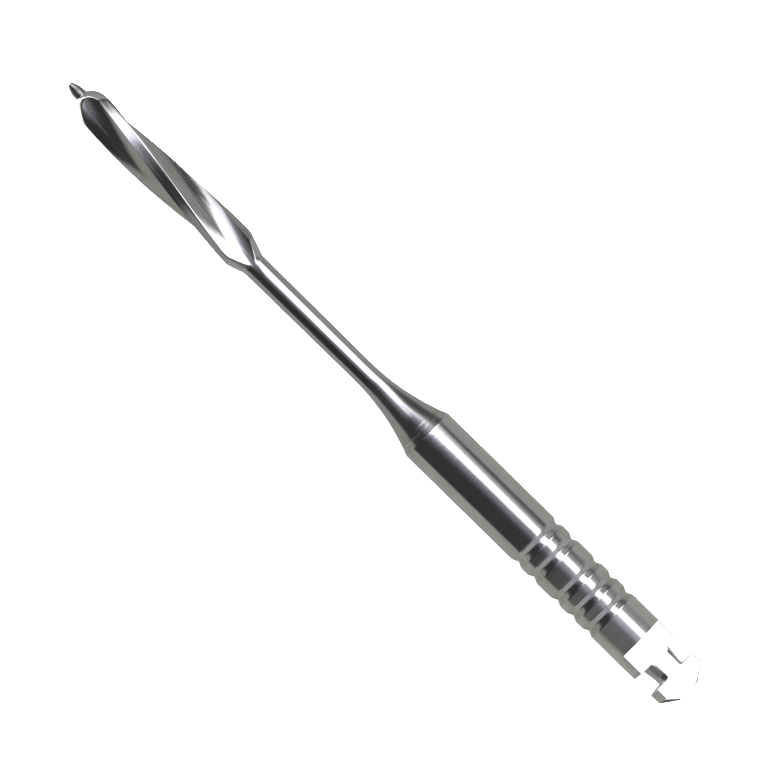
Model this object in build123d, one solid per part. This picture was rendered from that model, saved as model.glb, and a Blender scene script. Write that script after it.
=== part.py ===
from build123d import *
import math
import os

# Engine-driven root-canal reamer on a latch-type shank, in millimetres.
# The tool lies along X. The origin is the centre of the shank's flat end
# face, +X runs to the pilot tip, and the drive flat faces +Z.

# ------------------------------------------------------------- shank
SHANK_DIAMETER = 2.35          # standard right-angle handpiece shank
SHANK_LENGTH = 14.34           # end face to the corner of the shoulder
SHOULDER_ROUNDING = 0.60       # where the flare meets the shank

FLAT_LENGTH = 2.80             # drive flat, from the end face
FLAT_HEIGHT = 0.51             # drive flat above the axis

END_FACE_DIAMETER = 1.04
END_CHAMFER_LENGTH = 0.48
LATCH_HEAD_LENGTH = 0.95       # disc behind the latch groove
LATCH_GROOVE_WIDTH = 0.88
LATCH_NECK_DIAMETER = 1.24     # groove floor beside the disc
LATCH_NECK_GROWTH = 0.16       # the floor's diameter grows by this forwards
LATCH_NECK_PLAIN = 0.25        # stretch of floor that keeps its diameter
LATCH_CORNER_RADIUS = 0.10
EDGE_BREAK = 0.03              # rounding of the groove's outer edges

RING_FIRST = 4.46              # first ring groove, from the end face
RING_PITCH = 0.855
RING_GROUP_STEP = 1.28         # wider step between the two groups
REAR_RINGS = 3
FRONT_RINGS = 2
RING_DEPTH = 0.115
RING_WALL_ANGLE = 27.0
RING_FLOOR_RADIUS = 0.12
RING_LIP_RADIUS = 0.38

# ------------------------------------------- brazed joint in the flare
JOINT_FROM_SHOULDER = 0.27     # nose face of the shank, ahead of the shoulder
JOINT_GAP = 0.18               # length of the visible filler ring
JOINT_RECESS = 0.012           # the filler lies this far below the flare
TAIL_DIAMETER = 1.30
TAIL_LENGTH = 4.50             # how deep the tail sits in the shank
TAIL_END_CHAMFER = 0.15
FILLER_FILM = 0.04             # radial gap round the tail, full of filler
SOCKET_END_ROOM = 0.10         # empty room behind the tail
DRILL_POINT_ANGLE = 118.0

# ----------------------------------------------------- neck and flare
FLARE_RADIUS = 9.60
NECK_REAR_DIAMETER = 0.967
NECK_FRONT_DIAMETER = 1.01

# -------------------------------------------------------- fluted head
HEAD_FROM_SHOULDER = 10.50     # rear end of the full diameter
HEAD_BODY_LENGTH = 7.27        # from there to the root of the nose
HEAD_DIAMETER = 1.727
HEAD_FRONT_DIAMETER = 1.617
HEAD_SHOULDER_ANGLE = 20.6
HEAD_SHOULDER_ROUNDING = 1.20
NECK_FILLET = 0.80
NOSE_LENGTH = 1.242            # root of the nose to where its point would be
NOSE_POINT_RADIUS = 0.60

PILOT_LENGTH = 1.86            # tip ahead of the root of the nose
PILOT_DIAMETER = 0.51
PILOT_TIP_DIAMETER = 0.14
PILOT_OGIVE_LENGTH = 0.55
PILOT_OGIVE_RADIUS = 1.40
PILOT_TIP_ROUNDING = 0.05
PILOT_ROOT_FILLET = 0.12

# ------------------------------------------------------------- flutes
FLUTES = 3
FLUTE_LEAD = 28.6              # right-handed
EDGE_ANGLE = 2.0               # first cutting edge at the nose root, from +Y
LAND_ANGLE = 30.0
LAND_RELIEF = 0.086            # the heel lies this far below the edge
MARGIN_GRIND = 0.013           # depth of the round margin on each edge
CORE_DIAMETER = 0.96           # web left between the flutes
FLUTE_FLOOR_RADIUS = 1.00
FLUTE_FACE_RADIUS = 1.50
RUN_OUT_FROM_SHOULDER = 10.26  # where the grinding wheel starts to lift away
GRINDING_WHEEL_RADIUS = 26.0
SECTION_SPACING = 0.85         # distance between lofted sections
CUTTER_CLEARANCE = 0.02        # how far cutting solids run past the metal

# --------------------------------------------------------- worked out
SHANK_RADIUS = SHANK_DIAMETER / 2
HEAD_RADIUS = HEAD_DIAMETER / 2
CORE_RADIUS = CORE_DIAMETER / 2
TAIL_RADIUS = TAIL_DIAMETER / 2
NECK_REAR_RADIUS = NECK_REAR_DIAMETER / 2
NECK_FRONT_RADIUS = NECK_FRONT_DIAMETER / 2
NOSE_RADIUS = HEAD_FRONT_DIAMETER / 2

JOINT_REAR_X = SHANK_LENGTH + JOINT_FROM_SHOULDER
JOINT_FRONT_X = JOINT_REAR_X + JOINT_GAP
TAIL_END_X = JOINT_REAR_X - TAIL_LENGTH
FLARE_RISE = SHANK_RADIUS - NECK_REAR_RADIUS
FLARE_LENGTH = math.sqrt(FLARE_RISE * (2 * FLARE_RADIUS - FLARE_RISE))
FLARE_END_X = SHANK_LENGTH + FLARE_LENGTH
HEAD_REAR_X = SHANK_LENGTH + HEAD_FROM_SHOULDER
NOSE_ROOT_X = HEAD_REAR_X + HEAD_BODY_LENGTH
TIP_X = NOSE_ROOT_X + PILOT_LENGTH
RUN_OUT_X = SHANK_LENGTH + RUN_OUT_FROM_SHOULDER


def rounded(face, corner, radius):
    """Rounds the corner of a flat face that lies at the given (x, y)."""
    near = [v for v in face.vertices() if math.hypot(v.X - corner[0], v.Y - corner[1]) < 1e-6]
    return fillet(near, radius)


def turned(face):
    """Turns a half profile, drawn above the X axis, into a round solid."""
    return revolve(face, Axis.X, 360)


def arc_about(centre, start, end):
    """Arc under half a turn from start to end round a centre."""
    radius = (start - centre).length
    middle = centre + ((start - centre).normalized() + (end - centre).normalized()).normalized() * radius
    return ThreePointArc(start, middle, end)


# ------------------------------------------------------ flare outline
def flare_arc(rear_x, front_x):
    """Concave arc of the flare between two places along the tool."""
    rear_angle = 270 - math.degrees(math.asin((FLARE_END_X - rear_x) / FLARE_RADIUS))
    front_angle = 270 - math.degrees(math.asin((FLARE_END_X - front_x) / FLARE_RADIUS))
    centre = (FLARE_END_X, NECK_REAR_RADIUS + FLARE_RADIUS)
    return CenterArc(centre, FLARE_RADIUS, rear_angle, arc_size=front_angle - rear_angle)


def flare_height(x):
    """Radius of the flare at x."""
    return NECK_REAR_RADIUS + FLARE_RADIUS - math.sqrt(FLARE_RADIUS**2 - (FLARE_END_X - x) ** 2)


# -------------------------------------------------------------- shank
def ring_places():
    """Distance of each ring groove from the end face."""
    rear = [RING_FIRST + RING_PITCH * i for i in range(REAR_RINGS)]
    front_first = rear[-1] + RING_GROUP_STEP
    return rear + [front_first + RING_PITCH * i for i in range(FRONT_RINGS)]


def latch_profile():
    """Half profile of the latch groove, to be cut from the shank."""
    rear_x = LATCH_HEAD_LENGTH
    front_x = rear_x + LATCH_GROOVE_WIDTH
    floor = LATCH_NECK_DIAMETER / 2
    rear_foot = (rear_x, floor)
    front_foot = (front_x, floor + LATCH_NECK_GROWTH / 2)
    top = SHANK_RADIUS + CUTTER_CLEARANCE
    outline = Polyline(
        (rear_x, top),
        rear_foot,
        (rear_x + LATCH_NECK_PLAIN, floor),
        front_foot,
        (front_x, top),
        close=True,
    )
    face = rounded(make_face(outline), rear_foot, LATCH_CORNER_RADIUS)
    return rounded(face, front_foot, LATCH_CORNER_RADIUS)


def make_shank():
    """Latch shank with ring grooves, drive flat and the tail's socket."""
    wall = math.radians(RING_WALL_ANGLE)
    ring_apex = SHANK_RADIUS - RING_DEPTH - RING_FLOOR_RADIUS * (1 / math.cos(wall) - 1)
    ring_half_width = (SHANK_RADIUS - ring_apex) / math.tan(wall)
    socket_radius = TAIL_RADIUS + FILLER_FILM
    socket_end_x = TAIL_END_X - SOCKET_END_ROOM
    point_length = socket_radius / math.tan(math.radians(DRILL_POINT_ANGLE / 2))

    shoulder = (SHANK_LENGTH, SHANK_RADIUS)
    points = [(0, 0), (0, END_FACE_DIAMETER / 2), (END_CHAMFER_LENGTH, SHANK_RADIUS)]
    lips = []
    floors = []
    for x in ring_places():
        lips += [(x - ring_half_width, SHANK_RADIUS), (x + ring_half_width, SHANK_RADIUS)]
        floors.append((x, ring_apex))
        points += [lips[-2], floors[-1], lips[-1]]
    points.append(shoulder)
    socket = [
        (JOINT_REAR_X, flare_height(JOINT_REAR_X)),
        (JOINT_REAR_X, socket_radius),
        (socket_end_x, socket_radius),
        (socket_end_x - point_length, 0),
        (0, 0),
    ]
    outline = [Polyline(*points), flare_arc(SHANK_LENGTH, JOINT_REAR_X), Polyline(*socket)]
    face = make_face(outline)
    for corner in lips:
        face = rounded(face, corner, RING_LIP_RADIUS)
    for corner in floors:
        face = rounded(face, corner, RING_FLOOR_RADIUS)
    face = rounded(face, shoulder, SHOULDER_ROUNDING)
    face = face - latch_profile()
    for x in (LATCH_HEAD_LENGTH, LATCH_HEAD_LENGTH + LATCH_GROOVE_WIDTH):
        face = rounded(face, (x, SHANK_RADIUS), EDGE_BREAK)

    flat_cut = Pos(FLAT_LENGTH, 0, FLAT_HEIGHT) * Box(
        FLAT_LENGTH + CUTTER_CLEARANCE,
        SHANK_DIAMETER + CUTTER_CLEARANCE,
        SHANK_RADIUS,
        align=(Align.MAX, Align.CENTER, Align.MIN),
    )
    return turned(face) - flat_cut


# ------------------------------------------------------- brazed joint
def make_filler():
    """Filler ring in the flare with the thin sleeve round the tail."""
    outer = flare_height(JOINT_FRONT_X) - JOINT_RECESS
    rear_outer = flare_height(JOINT_REAR_X) - JOINT_RECESS
    sleeve_end_x = TAIL_END_X + TAIL_END_CHAMFER
    outline = Polyline(
        (JOINT_FRONT_X, TAIL_RADIUS),
        (JOINT_FRONT_X, outer),
        (JOINT_REAR_X, rear_outer),
        (JOINT_REAR_X, TAIL_RADIUS + FILLER_FILM),
        (sleeve_end_x, TAIL_RADIUS + FILLER_FILM),
        (sleeve_end_x, TAIL_RADIUS),
        close=True,
    )
    return turned(make_face(outline))


# ------------------------------------------------------- working part
def make_blank():
    """Turned blank of the working part: tail, flare, neck, head and pilot."""
    neck_rear = (FLARE_END_X, NECK_REAR_RADIUS)
    shoulder_drop = HEAD_RADIUS - NECK_FRONT_RADIUS
    neck_front_x = HEAD_REAR_X - shoulder_drop / math.tan(math.radians(HEAD_SHOULDER_ANGLE))
    neck_front = (neck_front_x, NECK_FRONT_RADIUS)
    head_rear = (HEAD_REAR_X, HEAD_RADIUS)
    nose_root = (NOSE_ROOT_X, NOSE_RADIUS)

    pilot_radius = PILOT_DIAMETER / 2
    point_centre = Vector(NOSE_ROOT_X + NOSE_LENGTH - NOSE_POINT_RADIUS, 0)
    root_to_centre = point_centre.X - NOSE_ROOT_X
    side_radius = (root_to_centre**2 + NOSE_RADIUS**2 - NOSE_POINT_RADIUS**2) / (
        2 * (NOSE_RADIUS - NOSE_POINT_RADIUS)
    )
    side_centre = Vector(NOSE_ROOT_X, NOSE_RADIUS - side_radius)
    nose_bend = side_centre + (point_centre - side_centre).normalized() * side_radius
    nose_end_x = point_centre.X + math.sqrt(NOSE_POINT_RADIUS**2 - pilot_radius**2)
    nose_end = Vector(nose_end_x, pilot_radius)
    ogive_start = (TIP_X - PILOT_OGIVE_LENGTH, pilot_radius)
    tip_corner = (TIP_X, PILOT_TIP_DIAMETER / 2)

    outline = [
        flare_arc(JOINT_FRONT_X, FLARE_END_X),
        Polyline(neck_rear, neck_front, head_rear, nose_root),
        arc_about(side_centre, Vector(*nose_root), nose_bend),
        arc_about(point_centre, nose_bend, nose_end),
        Line(nose_end, ogive_start),
        RadiusArc(ogive_start, tip_corner, PILOT_OGIVE_RADIUS),
        Polyline(
            tip_corner,
            (TIP_X, 0),
            (TAIL_END_X, 0),
            (TAIL_END_X, TAIL_RADIUS - TAIL_END_CHAMFER),
            (TAIL_END_X + TAIL_END_CHAMFER, TAIL_RADIUS),
            (JOINT_FRONT_X, TAIL_RADIUS),
            (JOINT_FRONT_X, flare_height(JOINT_FRONT_X)),
        ),
    ]
    face = make_face(outline)
    face = rounded(face, neck_front, NECK_FILLET)
    face = rounded(face, head_rear, HEAD_SHOULDER_ROUNDING)
    face = rounded(face, (nose_end.X, nose_end.Y), PILOT_ROOT_FILLET)
    face = rounded(face, tip_corner, PILOT_TIP_ROUNDING)
    return turned(face)


def polar(radius, angle):
    """Point in a cross-section, with its angle in degrees from +Y."""
    turn = math.radians(angle)
    return Vector(radius * math.cos(turn), radius * math.sin(turn))


def circles_meet(centre, radius, other, other_radius, turn):
    """Crossing of two circles, clockwise (turn -1) or not (turn 1) of the line
    from the first centre to the other."""
    span = other - centre
    along = (span.length**2 + radius**2 - other_radius**2) / (2 * span.length)
    across = turn * math.sqrt(radius**2 - along**2)
    unit = span.normalized()
    return centre + unit * along + Vector(-unit.Y, unit.X) * across


def flute_section(head_radius, core_radius):
    """Cross-section of the fluted bar between its edges and its core.

    Each third of a turn has a convex cutting face, a concave flute floor
    and a straight land that rises from its heel to the next edge.
    """
    step = 360 / FLUTES
    edge_radius = head_radius + MARGIN_GRIND
    edge = polar(edge_radius, 0)
    heel = polar(head_radius - LAND_RELIEF, step - LAND_ANGLE)
    next_edge = polar(edge_radius, step)
    floor_distance = core_radius + FLUTE_FLOOR_RADIUS
    reach = FLUTE_FACE_RADIUS + FLUTE_FLOOR_RADIUS
    floor_centre = circles_meet(Vector(0, 0), floor_distance, heel, FLUTE_FLOOR_RADIUS, -1)
    face_centre = circles_meet(edge, FLUTE_FACE_RADIUS, floor_centre, reach, 1)
    meeting = floor_centre + (face_centre - floor_centre).normalized() * FLUTE_FLOOR_RADIUS
    third = [
        arc_about(face_centre, edge, meeting),
        arc_about(floor_centre, meeting, heel),
        Line(heel, next_edge),
    ]
    return make_face([Rot(Z=step * i) * edge for i in range(FLUTES) for edge in third])


def land_radius(x):
    """Radius of the body at x; its taper starts at the rear and goes on into the nose."""
    taper = (HEAD_RADIUS - NOSE_RADIUS) / HEAD_BODY_LENGTH
    return HEAD_RADIUS - taper * max(x - HEAD_REAR_X, 0)


def fluted_bar(rear_x, front_x):
    """Twisted and tapered bar with the flutes along its whole length.

    Behind the run-out the grinding wheel lifts away on an arc of its own
    radius, so the flutes grow shallow and leave the neck.
    """
    count = math.ceil((front_x - rear_x) / SECTION_SPACING)
    places = [rear_x + (front_x - rear_x) * i / count for i in range(count + 1)]
    slices = []
    for x in places:
        lift = max(RUN_OUT_X - x, 0) ** 2 / (2 * GRINDING_WHEEL_RADIUS)
        angle = EDGE_ANGLE + (x - NOSE_ROOT_X) * 360 / FLUTE_LEAD
        plane = Plane(origin=(x, 0, 0), x_dir=(0, 1, 0), z_dir=(1, 0, 0))
        slices.append(plane * Rot(Z=angle) * flute_section(land_radius(x), CORE_RADIUS + lift))
    return loft(slices)


def make_working_part():
    """Working part: the blank with its flutes ground through head and nose."""
    blank = make_blank()
    lift_to_clear = NECK_FRONT_RADIUS - CORE_RADIUS + CUTTER_CLEARANCE
    rear_x = RUN_OUT_X - math.sqrt(2 * GRINDING_WHEEL_RADIUS * lift_to_clear)
    front_x = NOSE_ROOT_X + NOSE_LENGTH
    ground_zone = Pos(rear_x, 0, 0) * Rot(Y=90) * Cylinder(
        HEAD_DIAMETER, front_x - rear_x, align=(Align.CENTER, Align.CENTER, Align.MIN)
    )
    flutes = ground_zone - fluted_bar(rear_x, front_x)
    return blank - flutes


# -------------------------------------------------------------- build
def main():
    os.makedirs("parts", exist_ok=True)
    parts = {
        "shank": make_shank(),
        "braze_joint": make_filler(),
        "working_part": make_working_part(),
    }
    for name, part in parts.items():
        part.label = name
        export_step(part, f"parts/{name}.step")


main()
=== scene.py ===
import math
from typing import NamedTuple

import bmesh
import bpy
import numpy as np
from mathutils import Matrix, Vector


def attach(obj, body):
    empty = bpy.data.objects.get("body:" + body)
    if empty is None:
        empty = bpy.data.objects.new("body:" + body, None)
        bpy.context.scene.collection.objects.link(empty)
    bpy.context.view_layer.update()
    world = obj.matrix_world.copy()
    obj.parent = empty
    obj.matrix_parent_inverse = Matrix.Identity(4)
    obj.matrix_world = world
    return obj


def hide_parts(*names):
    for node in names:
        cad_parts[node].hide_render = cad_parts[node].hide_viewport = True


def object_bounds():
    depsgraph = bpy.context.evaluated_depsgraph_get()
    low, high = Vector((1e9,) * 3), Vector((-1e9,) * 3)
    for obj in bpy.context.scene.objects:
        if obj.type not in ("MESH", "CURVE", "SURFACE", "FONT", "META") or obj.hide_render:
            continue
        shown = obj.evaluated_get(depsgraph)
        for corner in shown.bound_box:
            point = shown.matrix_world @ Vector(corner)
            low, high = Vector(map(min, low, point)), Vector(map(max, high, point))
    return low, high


bl_info = {
    "name": "Root-canal reamer",
    "version": (1, 0, 0),
    "blender": (4, 5, 0),
    "location": "3D View > Sidebar > Reamer",
    "description": "Builds the visible surfaces of a latch-shank reamer and its studio",
    "category": "Object",
}

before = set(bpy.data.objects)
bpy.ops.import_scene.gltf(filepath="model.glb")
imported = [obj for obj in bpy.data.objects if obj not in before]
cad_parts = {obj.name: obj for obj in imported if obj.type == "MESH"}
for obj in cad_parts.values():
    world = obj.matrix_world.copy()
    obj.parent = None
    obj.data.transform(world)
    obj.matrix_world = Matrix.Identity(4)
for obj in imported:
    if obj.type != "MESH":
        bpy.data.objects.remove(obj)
CAD_BOX = [list(corner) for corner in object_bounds()]

# Plain lengths in this file are millimetres, and plain angles are degrees.
MM = 0.001
SHARP_ANGLE = math.radians(32)
MERGE_DISTANCE = 2e-5 * MM
TINY = 1e-6  # lengths and sines below this are taken as nothing
ROUNDING_STEPS = 7
FEW_STEPS = 4  # for roundings that hardly show
GUARD = 0.012  # support rows this near a rounding keep a straight wall flat


# ---- settings
def size(name, description, default):
    """A length in the sidebar; the default is given in millimetres."""
    return bpy.props.FloatProperty(
        name=name, description=description, default=default * MM, unit="LENGTH", precision=6
    )


def colour(name, description, default):
    """A colour in the sidebar."""
    return bpy.props.FloatVectorProperty(
        name=name, description=description, default=default, subtype="COLOR", size=3, min=0, max=1
    )


class ShankSettings(bpy.types.PropertyGroup):
    """Sizes and colour of the latch shank."""

    diameter: size("Diameter", "Diameter of the shank", 2.35)
    length: size("Length", "End face to the corner of the shoulder", 14.34)
    shoulder_rounding: size("Shoulder", "Rounding where the flare meets the shank", 0.10)
    flat_length: size("Flat length", "Length of the drive flat", 2.80)
    flat_height: size("Flat height", "Height of the drive flat above the axis", 0.51)
    flat_edge: size("Flat edge", "Rounding of the flat's long edges", 0.02)
    ring_depth: size("Ring depth", "Depth of the ring grooves", 0.115)
    ring_floor: size("Ring floor", "Radius at the bottom of a ring groove", 0.06)
    ring_lip: size("Ring lip", "Radius where a ring groove meets the shank", 0.17)
    colour: colour("Steel", "Colour of the polished shank", (0.63, 0.625, 0.62))
    roughness: bpy.props.FloatProperty(
        name="Roughness", description="Roughness of the polish", default=0.10, min=0, max=1
    )


class CutterSettings(bpy.types.PropertyGroup):
    """Sizes and colour of the working part."""

    head_diameter: size("Head, rear", "Diameter at the rear of the head", 1.727)
    head_front_diameter: size("Head, front", "Diameter at the root of the nose", 1.617)
    core_diameter: size("Core", "Web left between the flutes", 0.96)
    lead: size("Lead", "Length of one turn of a flute", 28.6)
    pilot_diameter: size("Pilot", "Diameter of the pilot at its root", 0.51)
    edge_softness: size("Edge softness", "Rounding where ground faces meet turned ones", 0.02)
    colour: colour("Steel", "Colour of the ground steel", (0.60, 0.595, 0.59))
    roughness: bpy.props.FloatProperty(
        name="Roughness", description="Roughness of the polish", default=0.09, min=0, max=1
    )


class FillerSettings(bpy.types.PropertyGroup):
    """Size and colour of the brazed joint."""

    gap: size("Ring length", "Length of the visible filler ring", 0.18)
    recess: size("Recess", "How far the filler lies below the flare at its rear end", 0.007)
    colour: colour("Filler", "Colour of the brazing filler", (0.60, 0.585, 0.57))


class StudioSettings(bpy.types.PropertyGroup):
    """The floor, the light and the camera."""

    floor_colour: colour("Floor", "Colour of the pale floor", (0.90, 0.90, 0.89))
    camera_distance: size("Distance", "Camera to the middle of the tool", 300.0)
    view_width: size("View width", "Width that the camera takes in", 30.08)
    camera_lean: bpy.props.FloatProperty(
        name="Lean", description="Camera's lean from straight above", default=math.radians(19.3),
        subtype="ANGLE",
    )
    camera_roll: bpy.props.FloatProperty(
        name="Roll", description="Direction of the tip in the picture", default=math.radians(135.58),
        subtype="ANGLE",
    )


# ---- outline maths
def corner_arc(before, corner, after, radius, steps):
    """Points of the arc that rounds a corner.

    The arc touches both runs at radius times the tangent of half the turn
    from the corner, and its points are spaced evenly by angle.
    """
    before, corner, after = (np.asarray(p, float) for p in (before, corner, after))
    arrive = (corner - before) / np.linalg.norm(corner - before)
    leave = (after - corner) / np.linalg.norm(after - corner)
    turn = math.acos(float(np.clip(arrive @ leave, -1, 1)))
    start = corner - arrive * radius * math.tan(turn / 2)
    left = np.array([-arrive[1], arrive[0]])
    side = 1.0 if left @ leave > 0 else -1.0
    angle = np.linspace(0, turn, steps + 1)[:, None]
    return start + radius * (np.sin(angle) * arrive + side * (1 - np.cos(angle)) * left)


def rounded_outline(corners, steps=ROUNDING_STEPS):
    """Outline through corners (x, r, rounding), each rounded by its own arc.

    A guard point stands just inside both ends of every longer straight run,
    so that the shading of a rounding doesn't leak along the run.
    """
    places = np.array([c[:2] for c in corners], float)
    bits = [places[:1]]
    for i in range(1, len(corners) - 1):
        rounding = corners[i][2]
        if rounding > 0:
            bits.append(corner_arc(places[i - 1], places[i], places[i + 1], rounding, steps))
        else:
            bits.append(places[i : i + 1])
    bits.append(places[-1:])
    outline = [bits[0]]
    for last, bit in zip(bits, bits[1:]):
        run = bit[0] - last[-1]
        length = np.linalg.norm(run)
        if length > 4 * GUARD:
            step = run / length * GUARD
            outline.append(np.array([last[-1] + step, bit[0] - step]))
        outline.append(bit)
    return np.concatenate(outline)


def join_outlines(*outlines):
    """One outline from several, without points that repeat the one before."""
    points = np.concatenate(outlines)
    keep = np.ones(len(points), bool)
    keep[1:] = np.linalg.norm(np.diff(points, axis=0), axis=1) > TINY
    return points[keep]


def arc_points(centre, radius, start, end, count):
    """Points on a circle: its centre plus radius times cosine and sine of each angle."""
    angle = np.radians(np.linspace(start, end, count))
    return np.stack([centre[0] + radius * np.cos(angle), centre[1] + radius * np.sin(angle)], 1)


def subdivide(outline, spacing):
    """The same outline with each run split evenly, into parts no longer than spacing."""
    bits = []
    for a, b in zip(outline, outline[1:]):
        count = max(1, math.ceil(np.linalg.norm(b - a) / spacing))
        bits.append(a + (b - a) * (np.arange(count) / count)[:, None])
    return np.concatenate(bits + [outline[-1:]])


# ---- surfaces
def new_object(name, data):
    """New object in the scene."""
    thing = bpy.data.objects.new(name, data)
    bpy.context.scene.collection.objects.link(thing)
    return thing


def grid_faces(rows, columns, closed=False):
    """Corners of every face of a grid whose points are numbered row by row.

    A point's number is its row times the count of columns, plus its column.
    Columns close on themselves, and so do rows if closed.
    """
    row = np.arange(rows if closed else rows - 1)[:, None]
    column = np.arange(columns)[None, :]
    following = (row + 1) % rows
    beside = (column + 1) % columns
    corners = [
        row * columns + column,
        row * columns + beside,
        following * columns + beside,
        following * columns + column,
    ]
    return np.stack(corners, -1).reshape(-1, 4)


def grid_mesh(name, points, faces):
    """Mesh of a grid of points in millimetres."""
    mesh = bpy.data.meshes.new(name)
    mesh.from_pydata((points.reshape(-1, 3) * MM).tolist(), [], faces.tolist())
    return mesh


def carry(mesh, name, kind, key, values):
    """Gives every point of a mesh a value under a name."""
    layer = mesh.attributes.new(name, kind, "POINT")
    layer.data.foreach_set(key, values.astype(np.float32).ravel())


def surface_object(name, points, closed=False, grain=None, ground=None):
    """Object from a grid of points (rows, columns, 3) in millimetres.

    Columns run round the X axis from +Y towards +Z and close on themselves.
    Rows run along the tool. Points that fall together are merged, which
    closes the poles and leaves no empty faces. Grain is the place that the
    finish's streaks are taken from, and ground is 1 where the wheel has cut.
    """
    mesh = grid_mesh(name, points, grid_faces(*points.shape[:2], closed))
    if grain is not None:
        carry(mesh, "grain", "FLOAT_VECTOR", "vector", grain * MM)
        carry(mesh, "ground", "FLOAT", "value", ground)
    work = bmesh.new()
    work.from_mesh(mesh)
    bmesh.ops.remove_doubles(work, verts=work.verts, dist=MERGE_DISTANCE)
    work.to_mesh(mesh)
    work.free()
    mesh.shade_smooth()
    mesh.set_sharp_from_angle(angle=SHARP_ANGLE)
    return new_object(name, mesh)


def round_grids(outline, angles):
    """Grids of distance, radius and angle: every outline point at every angle."""
    columns, rows = len(angles), len(outline)
    x = np.repeat(outline[:, :1], columns, 1)
    radius = np.repeat(outline[:, 1:], columns, 1)
    return x, radius, np.repeat(angles[None, :], rows, 0)


def to_points(x, radius, angle):
    """Points at a distance along X: y is radius times cosine and z radius times sine."""
    return np.stack([x, radius * np.cos(angle), radius * np.sin(angle)], -1)


# ---- joint
FLARE_RADIUS = 9.60
NECK_REAR_RADIUS = 0.4835
JOINT_FROM_SHOULDER = 0.27
TAIL_RADIUS = 0.65
TAIL_LENGTH = 4.50
TAIL_END_CHAMFER = 0.15
FILLER_FILM = 0.04
SOCKET_END_ROOM = 0.10
DRILL_POINT_ANGLE = 118.0
JOINT_EDGE = 0.008
JOINT_EDGE_ROOM = 0.05  # from an edge of the joint to the next row of the flare
FLARE_ROWS = 30
FILLER_COLUMN_STEP = 3.0


def flare_end(shank):
    """Where the flare's arc meets the neck, tangent to it.

    Ahead of the shank by the square root of the rise times twice the arc's
    radius less the rise.
    """
    rise = shank.diameter / MM / 2 - NECK_REAR_RADIUS
    return shank.length / MM + math.sqrt(rise * (2 * FLARE_RADIUS - rise))


def flare(shank, rear_x, front_x, count):
    """Flare between two places.

    Its radius is the neck's plus the arc's, less the square root of the arc's
    radius squared minus the distance from the flare's end squared.
    """
    x = np.linspace(rear_x, front_x, count)
    away = flare_end(shank) - x
    return np.stack([x, NECK_REAR_RADIUS + FLARE_RADIUS - np.sqrt(FLARE_RADIUS**2 - away**2)], 1)


def joint_faces(shank, filler):
    """Rear and front face of the brazed joint along the tool."""
    rear = shank.length / MM + JOINT_FROM_SHOULDER
    return rear, rear + filler.gap / MM


# ---- shank
END_FACE_RADIUS = 0.52
END_FACE_ROUNDING = 0.015
END_CHAMFER_LENGTH = 0.48
END_ROWS_TO = 0.5
END_ROW_SPACING = 0.025
LATCH_HEAD_LENGTH = 0.95
LATCH_GROOVE_WIDTH = 0.88
LATCH_NECK_RADIUS = 0.62
LATCH_NECK_GROWTH = 0.08
LATCH_NECK_PLAIN = 0.25
LATCH_NECK_BEND = 0.30
LATCH_CORNER_RADIUS = 0.10
EDGE_BREAK = 0.03
SHOULDER_REACH = 0.25  # the shoulder's rounding aims at the flare this far ahead
SHOULDER_ROOM = 0.02  # from the shoulder's rounding to the next row of the flare
REAR_FLARE_ROWS = 4
FLAT_STEP = 0.02  # length of the step at the end of the flat
COLUMN_STEP = 1.5
FLAT_EDGE_COLUMNS = (-3, 3, 13)  # from and to, beside the flat's edge, and how many
NECK_EDGE_COLUMNS = (44, 60, 1.0)  # from and to, where the flat cuts the groove, and step
CLOSEST_COLUMNS = 1e-3  # radians
RING_FIRST = 4.46
RING_PITCH = 0.855
RING_GROUP_STEP = 1.28
REAR_RINGS = 3
FRONT_RINGS = 2
RING_WALL_ANGLE = math.radians(27)


def ring_places():
    """Distance of each ring groove from the end face."""
    rear = [RING_FIRST + RING_PITCH * i for i in range(REAR_RINGS)]
    front = rear[-1] + RING_GROUP_STEP
    return rear + [front + RING_PITCH * i for i in range(FRONT_RINGS)]


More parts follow.
